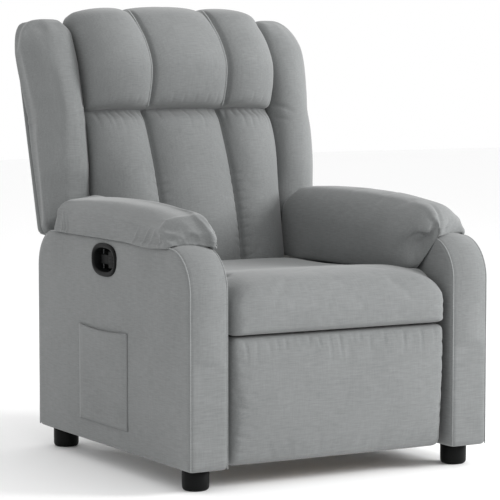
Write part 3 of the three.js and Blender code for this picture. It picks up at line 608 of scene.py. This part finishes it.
seat = {
    "halfWidth": 278, "frontY": -388, "rearY": 227, "bottomZ": 333, "topZ": 456, "stepMm": 10,
    "heldZ": 430, "middleRise": 26, "frontRise": 9, "endFall": 34, "bow": 3, "underStep": 12,
    "pressure": 3.0, "capMm": 8, "slack": 0.002, "fill": 0.85,
    "topLine": [(-388, 424), (-380, 432), (-360, 443), (-325, 451), (-280, 455), (-220, 452), (-120, 444),
                (227, 438)],
}


def makeSeat():
    low = (-seat["halfWidth"], seat["frontY"] + 3, seat["bottomZ"])
    high = (seat["halfWidth"], seat["rearY"], seat["topZ"])

    def radii(signs):
        rear, upper = signs[1] > 0, signs[2] > 0
        return (22, 40 if not rear else 30, 30 if upper else 18)

    bm = roundBlock(low, high, (0, -150, 384), radii, seat["stepMm"])
    for v in bm.verts:
        x, y, z = v.co
        height = (z - seat["bottomZ"]) / (seat["topZ"] - seat["bottomZ"])
        top = through(seat["topLine"], y) - 4 * (x / seat["halfWidth"]) ** 4
        # the ends of the roll fall away in front of the arm pads
        top -= seat["endFall"] * max(0, (abs(x) - 200) / 84) ** 2.4 * ramp(-y, 285, 340)
        z = seat["bottomZ"] + height * (top - seat["bottomZ"])
        # the roll bows forward in the middle and is fullest above its seam
        y -= seat["bow"] * (1 - (x / seat["halfWidth"]) ** 2) * ramp(-y, 330, 388)
        # held down along the arm pads
        roof = seat["heldZ"] + seat["frontRise"] * ramp(-y, 220, 258)
        roof += seat["middleRise"] * (1 - ramp(abs(x), 224, 244))
        if y > -290 and z > roof:
            z = z + (roof - z) * ramp(y, -290, -262)
        # the underside steps up behind the front roll, over the springs
        z += seat["underStep"] * (1 - ramp(z, 336, 374)) * ramp(y, -335, -300)
        v.co = at(x, y, z)
    piece = toPiece(bm, "seatCushion", fabric, "seat")

    def hold(p):
        x, y, z = abs(p.x) / mm, (p.y - armMiddle) / mm, p.z / mm
        underPad = ramp(x, 236, 250) * ramp(y, -300, -270)
        return max(ramp(-z, -350, -344), ramp(x, 262, 274), underPad, ramp(y, 215, 224))

    puffUp(piece, hold, seat["pressure"], seat["capMm"], seat["slack"])
    refine(piece)
    random.seed(21)
    folds = []
    for side in (-1, 1):    # soft pulls at the ends of the front roll
        for k in range(3):
            z = 352 + 20 * k
            inner = side * (236 - 20 * random.random())
            folds.append(([at(side * 276, -372, z), at(inner, -392, z + 10)], 7.0, 1.4, False))
    folds.append(([at(-70, -300, 460), at(-20, -270, 460), at(20, -262, 460)], 8.0, 0.9, False))
    folds.append(([at(150, -310, 460), at(110, -262, 460), at(96, -230, 460)], 8.0, 0.8, False))
    foldIn(piece, folds)
    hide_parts("seat_cushion")


makeSeat()
print("seat made")


footrest = {
    "halfWidth": 275, "rearY": -334.4, "frontY": -385, "bottomZ": 50, "topZ": 330.5, "stepMm": 8, "bow": 4,
    "upperRadii": (16, 20, 10), "lowerRadii": (16, 20, 18), "rearRadii": (5, 5, 5),
    "pressure": 2.2, "capMm": 6, "slack": 0.004, "fill": 0.7, "puckers": 19, "sidePulls": 7,
    "frontLine": [(50, 15), (110, 8), (200, 1), (260, 0), (310, 1), (330, 3)],      # height, set back
}


def makeFootrest():
    f = footrest
    low = (-f["halfWidth"], f["frontY"] + 6, f["bottomZ"])
    high = (f["halfWidth"], f["rearY"], f["topZ"])

    def radii(signs):
        if signs[1] > 0:
            return f["rearRadii"]
        return f["upperRadii"] if signs[2] > 0 else f["lowerRadii"]

    bm = roundBlock(low, high, (0, f["rearY"] - 6, (f["bottomZ"] + f["topZ"]) / 2), radii, f["stepMm"])
    for v in bm.verts:
        x, y, z = v.co
        front = ramp(-y, 336, 372)
        y += front * through(f["frontLine"], z)
        y -= front * f["bow"] * (1 - (x / f["halfWidth"]) ** 4)
        v.co = at(x, y, z)
    piece = toPiece(bm, "footrestPad", fabric, "footrest")

    def hold(p):
        y, z = (p.y - armMiddle) / mm, p.z / mm
        return max(ramp(y, -346, -340), ramp(z, 320, 328), ramp(-z, -64, -56))

    puffUp(piece, hold, f["pressure"], f["capMm"], f["slack"])
    refine(piece)
    random.seed(5)
    folds = []
    for k in range(f["puckers"]):     # puckers where the top edge is gathered into its seam
        x = -246 + 27 * k + 12 * (random.random() - 0.5)
        drop = 20 + 44 * random.random()
        folds.append(([at(x, -384, 326), at(x + 9 * (random.random() - 0.5), -390, 326 - drop)],
                      3.6, 0.8 + 1.7 * random.random(), False))
    for side in (-1, 1):
        for k in range(f["sidePulls"]):
            z = 78 + 34 * k + 10 * random.random()
            folds.append(([at(side * 272, -372, z), at(side * (232 - 18 * random.random()), -388, z - 14)],
                          5.2, 1.2 + 1.0 * random.random(), False))
    foldIn(piece, folds)
    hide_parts("footrest_pad")


makeFootrest()
print("footrest made")


back = {
    "pivotY": 280, "pivotZ": 318, "leanDeg": 16,
    "halfWidth": 256, "seamX": 104, "frontFace": -33, "rearFace": -57,
    "headSeam": 498, "low": 84, "crest": 770,
}
leanSin = math.sin(math.radians(back["leanDeg"]))
leanCos = math.cos(math.radians(back["leanDeg"]))


def onBack(x, up, out):
    # up runs along the leaning back from the recline pivot, out stands forwards from it
    return at(x, back["pivotY"] + up * leanSin - out * leanCos, back["pivotZ"] + up * leanCos + out * leanSin)


def fromBack(p):
    y = (p.y - armMiddle) / mm - back["pivotY"]
    z = p.z / mm - back["pivotZ"]
    return p.x / mm, y * leanSin + z * leanCos, z * leanSin - y * leanCos


def acrossChannel(x):
    # share from -1 to 1 across the channel that x is in, and whether it is the middle one
    seamX, edge = back["seamX"], back["halfWidth"]
    if abs(x) <= seamX:
        return x / seamX, True
    return (abs(x) - (seamX + edge) / 2) / ((edge - seamX) / 2), False


def swell(share, power=0.6):
    return max(0.0, 1 - share * share) ** power


lower = {
    # height and depth, along the two inner seams and the outer edges
    "seamLine": [(80, 58), (126, 66), (225, 73), (330, 69), (392, 62), (450, 52), (494, 40)],
    "edgeLine": [(80, 6), (120, 12), (210, 22), (290, 31), (382, 46), (440, 44), (494, 28)],
    "middleRise": 44, "sideRise": 42, "seamDepth": 12, "stitchDepth": 6.0, "stepMm": 7,
    "pressure": 3.0, "capMm": 10, "slack": 0.002, "fill": 0.85, "tucks": 10,
}


def lowerFront(x, up):
    seamDepth = through(lower["seamLine"], up)
    edgeDepth = through(lower["edgeLine"], up)
    share, isMiddle = acrossChannel(x)
    if isMiddle:
        ground = seamDepth
        rise = lower["middleRise"] * swell(share)
    else:
        outward = (abs(x) - back["seamX"]) / (back["halfWidth"] - back["seamX"])
        ground = seamDepth + (edgeDepth - seamDepth) * outward ** 1.3
        rise = lower["sideRise"] * swell(share)
    tuck = 1 - ramp(up, 450, 492) ** 2 * 0.6
    return ground - lower["seamDepth"] + rise * tuck


def makeBackCushion():
    top = back["headSeam"] + 3
    low = (-back["halfWidth"], back["low"], 0)
    high = (back["halfWidth"], top, 100)

    def radii(signs):
        return (6, 10, 14) if signs[2] > 0 else (3, 3, 3)

    bm = roundBlock(low, high, (0, 280, 20), radii, lower["stepMm"])
    for v in bm.verts:
        x, up, out = v.co
        front = lowerFront(x, up)
        v.co = onBack(x, up, back["frontFace"] + 0.6 + (front - back["frontFace"]) * out / 100)
    piece = toPiece(bm, "backCushion", fabric, "back")

    def hold(p):
        x, up, out = fromBack(p)
        seam = 1 - ramp(abs(abs(x) - back["seamX"]), 4, 16)
        ends = max(ramp(up, 470, 486), 1 - ramp(up, 90, 100))
        return max(seam, ends, 1 - ramp(out, -20, -6), ramp(abs(x), 244, 252))

    puffUp(piece, hold, lower["pressure"], lower["capMm"], lower["slack"])
    refine(piece)
    random.seed(3)
    folds = []

    def onFront(x, up):
        return onBack(x, up, lowerFront(x, up))

    for x0, count, spread in ((-178, 7, 126), (178, 7, 126), (0, 5, 180)):
        for k in range(count):    # puckers under the head cushion
            x = x0 + spread * ((k + 0.5) / count - 0.5) + 8 * (random.random() - 0.5)
            drop = 26 + 44 * random.random()
            folds.append(([onFront(x, 490), onFront(x * 0.98, 490 - drop)], 3.8,
                          (1.4 if count > 5 else 0.7) + 1.2 * random.random(), False))
    for side in (-1, 1):
        x = side * back["seamX"]
        folds.append(([onFront(x, 92 + 20 * k) for k in range(21)], 4.6, lower["stitchDepth"], True))
        for k in range(lower["tucks"]):        # short tucks beside the stitching, near the seat
            up = 112 + 23 * k
            for outward in (-1, 1):
                reach = 18 + 20 * random.random()
                points = [onFront(x + 4 * outward, up), onFront(x + outward * reach, up + 12 * random.random())]
                folds.append((points, 3.6, 0.9 + 1.3 * random.random(), False))
    foldIn(piece, folds)
    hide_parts("back_cushion")


head = {
    "seamLine": [(488, 60), (515, 84), (555, 107), (594, 116), (650, 101), (700, 71), (740, 40), (770, 2)],
    "middleRise": 29, "sideRise": 31, "seamDepth": 3, "sideFall": 30, "crestFall": 17, "crestDip": 7,
    "grooveDepth": 5.0, "ridgeRadius": 2.2, "ridgeLow": 494, "ridgeTop": 748, "stepMm": 7,
    "pressure": 3.0, "capMm": 9, "slack": 0.002, "fill": 0.9, "tucks": 16,
}


def headFront(x, up):
    share, isMiddle = acrossChannel(x)
    depth = through(head["seamLine"], up)
    fade = 1 - 0.4 * ramp(up, 720, 764)
    if isMiddle:
        return depth - head["seamDepth"] + head["middleRise"] * swell(share) * fade
    outward = (abs(x) - back["seamX"]) / (back["halfWidth"] - back["seamX"])
    fall = head["sideFall"] * outward ** 2.4 * (1 - 0.4 * ramp(up, 700, 760))
    return depth - head["seamDepth"] - fall + head["sideRise"] * swell(share) * fade


def headCrest(x):
    return back["crest"] - 2 - head["crestFall"] * (abs(x) / back["halfWidth"]) ** 2.4


def makeHeadCushion():
    low = (-back["halfWidth"], back["headSeam"] - 4, 0)
    high = (back["halfWidth"], back["crest"], 100)

    def radii(signs):
        up, out = signs[1] > 0, signs[2] > 0
        if up:
            return (14, 34, 30 if out else 34)
        return (14, 12, 14 if out else 3)

    bm = roundBlock(low, high, (0, 600, 40), radii, head["stepMm"])
    for v in bm.verts:
        x, up, out = v.co
        height = (up - low[1]) / (back["crest"] - low[1])
        rise = low[1] + height * (headCrest(x) - low[1])
        behind = back["frontFace"] + 0.6 if rise < 701 else back["rearFace"] + 0.6
        share = acrossChannel(x)[0]
        dip = head["crestDip"] * (1 - swell(share, 0.5)) * ramp(rise, 680, 750)
        v.co = onBack(x, rise - dip, behind + (headFront(x, rise) - behind) * out / 100)
    piece = toPiece(bm, "headCushion", fabric, "back")

    def hold(p):
        x, up, out = fromBack(p)
        seam = 1 - ramp(abs(abs(x) - back["seamX"]), 3, 12)
        low = 1 - ramp(up, 494, 506)
        return max(seam, low, 1 - ramp(out, -26, -12), ramp(abs(x), 245, 252))

    puffUp(piece, hold, head["pressure"], head["capMm"], head["slack"])
    refine(piece)
    random.seed(8)
    folds = []

    def onFront(x, up):
        return onBack(x, up, headFront(x, up))

    for side in (-1, 1):        # groove beside each stitched ridge
        x = side * back["seamX"] + 4
        folds.append(([onFront(x, 496 + 18 * k) for k in range(15)], 4.2, head["grooveDepth"], True))
    for k in range(head["tucks"]):        # fine tucks where the segments meet the seam below
        x = -236 + 31.5 * k + 8 * (random.random() - 0.5)
        points = [onFront(x, 498), onFront(x, 516 + 12 * random.random())]
        folds.append((points, 3.4, 0.6 + 0.8 * random.random(), False))
    foldIn(piece, folds)
    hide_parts("head_cushion")
    # raised stitched ridge beside each vertical seam, in the paler piping cloth: a painted highlight along the
    # ridge
    for word, side in sides.items():
        x = side * back["seamX"] - 1.5
        path = []
        for k in range(40):
            up = head["ridgeLow"] + (head["ridgeTop"] - head["ridgeLow"]) * k / 39
            path.append(onBack(x, up, headFront(x, up) + 0.8))
        tube("headRidge_" + word, path, head["ridgeRadius"] * mm, highlightedPipingFabric, "back")


wing = {
    "innerX": 254, "outerX": 377, "low": 206, "top": 737, "rear": -57, "stepMm": 8,
    "bulge": 6, "shoulder": 9, "waist": 3, "waistAt": 488, "pressure": 1.6, "capMm": 5, "fill": 0.8,
    "crestLine": [(200, 6), (240, 16), (300, 30), (350, 50), (410, 64), (470, 72), (540, 75), (610, 71),
                  (670, 58), (737, 34)],
}


def makeWing(word, sign):
    low = (wing["innerX"], wing["low"], 0)
    high = (wing["outerX"], wing["top"], 100)

    def radii(signs):
        outward, upward, forward = signs[0] > 0, signs[1] > 0, signs[2] > 0
        x = (68 if forward else 24) if outward else (52 if forward else 8)
        y = (96 if outward else 54) if upward else 26
        z = (64 if outward else 54) if forward else (18 if outward else 8)
        return (x, y, z)

    bm = roundBlock(low, high, (308, 470, 36), radii, wing["stepMm"])
    for v in bm.verts:
        x, up, out = v.co
        front = through(wing["crestLine"], up) - 3
        waist = wing["waist"] * math.exp(-((up - wing["waistAt"]) / 26) ** 2)
        outward = ramp(x, 300, 376)
        x += outward * (wing["shoulder"] * ramp(up, 500, 640) - 5 * (1 - ramp(up, 216, 420)) - waist)
        x += wing["bulge"] * outward * math.sin(math.pi * min(1, max(0, out / 100)))
        lift = 10 * (1 - ramp(up, 216, 300)) * ramp(out, 20, 100)
        v.co = onBack(sign * x, up + lift, wing["rear"] + 0.8 + (front - wing["rear"]) * out / 100)
    piece = toPiece(bm, "wingPad_" + word, fabric, "back")

    def hold(p):
        x, up, out = fromBack(p)
        return max(1 - ramp(abs(x), 256, 262), 1 - ramp(out, -52, -40), 1 - ramp(up, 214, 226))

    puffUp(piece, hold, wing["pressure"], wing["capMm"])
    refine(piece)
    pulls = [      # where the head cushion's seam meets the wing, and across its side
        ([(258, 500, 44), (282, 486, 74), (312, 474, 78)], 7, 3.0),
        ([(258, 468, 44), (280, 456, 74), (296, 450, 78)], 6, 1.8),
        ([(380, 486, -56), (380, 484, -20), (378, 480, 20)], 6, 2.2),
    ]
    folds = [([onBack(sign * x, up, out) for x, up, out in line], width, depth, False)
             for line, width, depth in pulls]
    foldIn(piece, folds)
    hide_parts("wing_" + word)


rear = {
    "halfWidth": 374, "low": 208, "top": 732, "tongueHalfWidth": 250, "tongueLength": 180, "thickness": 26,
    "upperRadius": 60, "lowerRadius": 20, "edgeRadius": 18, "fullness": 9, "stepMm": 12, "fill": 0.5,
}


def makeRearCover():
    # flat upholstered panel with a sewn border, a little full in the middle
    width, low, thick = rear["halfWidth"], rear["low"], rear["thickness"]

    def radii(signs):
        corner = rear["upperRadius"] if signs[1] > 0 else rear["lowerRadius"]
        return (corner, corner, rear["edgeRadius"] if signs[2] > 0 else 2)

    bm = roundBlock((-width, low - rear["tongueLength"], 0), (width, rear["top"], thick), (0, 420, 8), radii,
                    rear["stepMm"])
    for v in bm.verts:
        x, up, out = v.co
        narrow = 1 - ramp(up, low - 14, low + 6)
        x *= 1 - narrow * (1 - rear["tongueHalfWidth"] / width)
        fullness = (1 - (x / width) ** 2) * (1 - ((up - 420) / 330) ** 2)
        behind = out / thick
        v.co = onBack(x, up, back["rearFace"] - 0.2 - out - rear["fullness"] * max(0, fullness) * behind)
    piece = toPiece(bm, "rearCover", fabric, "back")
    refine(piece)
    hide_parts("back_cover")


makeBackCushion()
makeHeadCushion()
for word, sign in sides.items():
    makeWing(word, sign)
makeRearCover()
print("back made")


foot = {
    "segments": 48,
    "profile": [(0, 0), (20, 0), (24.5, 0.6), (27.6, 2.6), (29.2, 5.6), (29.8, 9), (30, 20), (30, 43),
                (29.2, 44), (29.2, 45.5), (30, 46.5), (30, 49), (29, 49.7), (0, 49.7)],      # radius, height
}


def latheZ(profile, centre, steps):
    bm = bmesh.new()
    points = [bm.verts.new((r * mm, 0, z * mm)) for r, z in profile]
    edges = [bm.edges.new(pair) for pair in zip(points, points[1:])]
    bmesh.ops.spin(bm, geom=points + edges, cent=(0, 0, 0), axis=(0, 0, 1), angle=2 * math.pi,
                   steps=steps, use_merge=True)
    bmesh.ops.remove_doubles(bm, verts=bm.verts[:], dist=1e-6)
    bmesh.ops.translate(bm, vec=centre, verts=bm.verts[:])
    return bm


def makeFeet():
    # turned-looking moulded foot: rounded toe, faint draft, a collar under the arm
    for place in ("front", "rear"):
        for word in sides:
            low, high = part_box(f"foot_{place}_{word}")
            bm = latheZ(foot["profile"], ((low.x + high.x) / 2, (low.y + high.y) / 2, 0), foot["segments"])
            piece = toPiece(bm, f"foot_{place}_{word}_moulded", plastic, "base")
            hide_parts(f"foot_{place}_{word}")


def cupRing(bm, inset, depth):
    # squarer than an ellipse
    ring = bmesh.ops.create_circle(bm, cap_ends=False, segments=cup["segments"], radius=1)["verts"]
    for v in ring:
        across, up = v.co.x, v.co.y
        across = math.copysign(abs(across) ** 0.78, across) * (cup["halfY"] - inset)
        up = math.copysign(abs(up) ** 0.78, up) * (cup["halfZ"] - inset)
        v.co = at(cup["faceX"] + depth, cup["y"] + across, cup["z"] + up)
    return ring


def edgesOf(verts):
    chosen = set(verts)
    return [e for e in {e for v in verts for e in v.link_edges} if chosen.issuperset(e.verts)]


def makeLeverCup():
    # moulded cup: raised rounded flange, deep dark well
    bm = bmesh.new()
    rings = [cupRing(bm, inset, depth) for inset, depth in cup["profile"] + cup["shell"]]
    floorRing = len(cup["profile"]) - 1
    rearRing = floorRing + 1
    floorEdges = edgesOf(rings[floorRing])
    rearEdges = edgesOf(rings[rearRing])
    bmesh.ops.contextual_create(bm, geom=floorEdges)
    bmesh.ops.contextual_create(bm, geom=rearEdges)
    loops = [edgesOf(ring) for ring in rings]
    for first, second in [(k, k + 1) for k in range(floorRing)] + [(rearRing, rearRing + 1), (rearRing + 1, 0)]:
        bmesh.ops.bridge_loops(bm, edges=loops[first] + loops[second])
    piece = toPiece(bm, "leverCup", plastic, "base")
    for polygon in piece.data.polygons:
        polygon.use_smooth = len(polygon.vertices) < 5
    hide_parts("lever_bezel")


def softBlock(bm, low, high, bevel):
    made = bmesh.ops.create_cube(bm, size=1)["verts"]
    bmesh.ops.scale(bm, vec=[high[i] - low[i] for i in range(3)], verts=made)
    bmesh.ops.translate(bm, vec=[(high[i] + low[i]) / 2 for i in range(3)], verts=made)
    edges = list({e for v in made for e in v.link_edges})
    bmesh.ops.bevel(bm, geom=edges, offset=bevel, segments=4, profile=0.5, affect="EDGES", material=-1)


# each block: low corner, high corner (x from the bar, y, z from the cup's middle), bevel
lever = {
    "barX": -373.5,
    "blocks": [((-6, -15, -20), (5, 14, 20), 2.6), ((-4.5, 10, -11), (3.5, 49, 11), 1.6)],      # bar, neck
    "ribs": (-7, 0, 7),
    "hub": ((-3.5, 45, -11), (6.5, 55, 11), 2.4),
}


def makeLever():
    # T-shaped paddle: a thumb-wide bar with grip ribs, on a shorter neck and a hub at the rear
    ribs = [((-6.7, -11, z - 1), (-5, 10, z + 1), 0.5) for z in lever["ribs"]]
    bm = bmesh.new()
    for low, high, bevel in lever["blocks"] + ribs + [lever["hub"]]:
        softBlock(bm, (lever["barX"] + low[0], low[1], cup["z"] + low[2]),
                  (lever["barX"] + high[0], high[1], cup["z"] + high[2]), bevel)
    toMetres = Matrix.Translation((0, armMiddle, 0)) @ Matrix.Scale(mm, 4)
    bmesh.ops.transform(bm, matrix=toMetres, verts=bm.verts[:])
    piece = toPiece(bm, "leverPaddle", plastic, "lever")
    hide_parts("pull_lever")


pocket = {
    "frontY": -98, "rearY": 148, "bottomZ": 99, "topZ": 319, "armX": 387.6,
    "sag": 6, "hem": 11, "hemRise": 0.9, "stitchDepth": 0.7, "cloth": 1.6,
}


def makePocket():
    # patch pocket: cloth sewn on three sides, its hemmed mouth hanging a little open
    p = pocket
    bm = bmesh.new()
    bmesh.ops.create_grid(bm, x_segments=36, y_segments=32, size=0.5)
    for v in bm.verts:
        across = v.co.x + 0.5
        height = v.co.y + 0.5
        top = p["topZ"] - p["sag"] * math.sin(math.pi * across)
        y = p["frontY"] + across * (p["rearY"] - p["frontY"])
        z = p["bottomZ"] + height * (top - p["bottomZ"])
        edge = min(across, 1 - across, height * 0.9) * 2
        stand = ramp(edge, 0, 0.22) * (1.4 + 2.2 * ramp(height, 0.3, 1) * math.sin(math.pi * across))
        hem = p["hemRise"] * ramp(z, top - p["hem"] - 1.5, top - p["hem"] + 0.5)
        groove = -p["stitchDepth"] * math.exp(-((z - (top - p["hem"])) / 1.6) ** 2)
        v.co = at(-(p["armX"] + stand + hem + groove), y, z)
    piece = toPiece(bm, "sidePocket", fabric, "base")
    wall = piece.modifiers.new("wall", "SOLIDIFY")
    wall.thickness = p["cloth"] * mm
    wall.offset = 1
    applyModifiers(piece)
    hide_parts("side_pocket")


makeFeet()
makeLeverCup()
makeLever()
makePocket()
print("small pieces made")


for name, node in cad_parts.items():
    if name.startswith(("arm_frame", "footrest_board", "back_frame")):
        finish = plywood
    elif name.startswith(("recline_pivot_pin", "seat_springs")):
        finish = zinc
    elif name.startswith(("release_cable", "foot_", "lever_bezel", "pull_lever")):
        finish = plastic
    else:
        finish = blackSteel
    node.data.materials.clear()
    node.data.materials.append(finish)
print("mechanism finished")


studio = {
    "cameraX": -2.690, "cameraY": -4.690, "cameraZ": 0.943, "lens": 167.2,
    "headingDeg": 29.67, "pitchDeg": 4.87,
    "floorColour": "#fafafa", "floorHalfWidth": 14, "worldStrength": 1.0, "lightsAimAt": (0, 0, 0.5),
    "lights": [("key", (3.7, -2.7, 2.1), 1.6, 215), ("fill", (-0.6, -4.2, 1.6), 2.4, 9),
               ("top", (0.8, 0.6, 3.4), 2.2, 10)],      # name, place and size in m, watts
}


def makeStudio():
    scene = bpy.context.scene
    floorMaterial = newMaterial("paleStudioFloor", Base_Color=toLinear(studio["floorColour"]), Roughness=0.8)[0]
    bm = bmesh.new()
    bmesh.ops.create_grid(bm, x_segments=1, y_segments=1, size=studio["floorHalfWidth"])
    floor = toObject(bm, "floor")
    floor.data.materials.append(floorMaterial)

    world = bpy.data.worlds.new("studio")
    world.use_nodes = True
    background = world.node_tree.nodes["Background"]
    background.inputs["Color"].default_value = (1, 1, 1, 1)
    background.inputs["Strength"].default_value = studio["worldStrength"]
    scene.world = world

    for name, place, size, power in studio["lights"]:
        light = bpy.data.lights.new(name, "AREA")
        light.size = size
        light.energy = power
        lamp = bpy.data.objects.new(name, light)
        lamp.location = place
        aim = Vector(studio["lightsAimAt"]) - Vector(place)
        lamp.rotation_euler = aim.to_track_quat("-Z", "Y").to_euler()
        scene.collection.objects.link(lamp)

    camera = bpy.data.cameras.new("camera")
    camera.lens = studio["lens"]
    camera.sensor_width = 36
    camera.clip_end = 60
    eye = bpy.data.objects.new("camera", camera)
    eye.location = (studio["cameraX"], studio["cameraY"] + armMiddle, studio["cameraZ"])
    heading, pitch = math.radians(studio["headingDeg"]), math.radians(studio["pitchDeg"])
    look = Vector((math.sin(heading) * math.cos(pitch), math.cos(heading) * math.cos(pitch), -math.sin(pitch)))
    eye.rotation_euler = look.to_track_quat("-Z", "Y").to_euler()
    scene.collection.objects.link(eye)
    scene.camera = eye
    scene.view_settings.view_transform = "Standard"


makeStudio()
print("studio made")
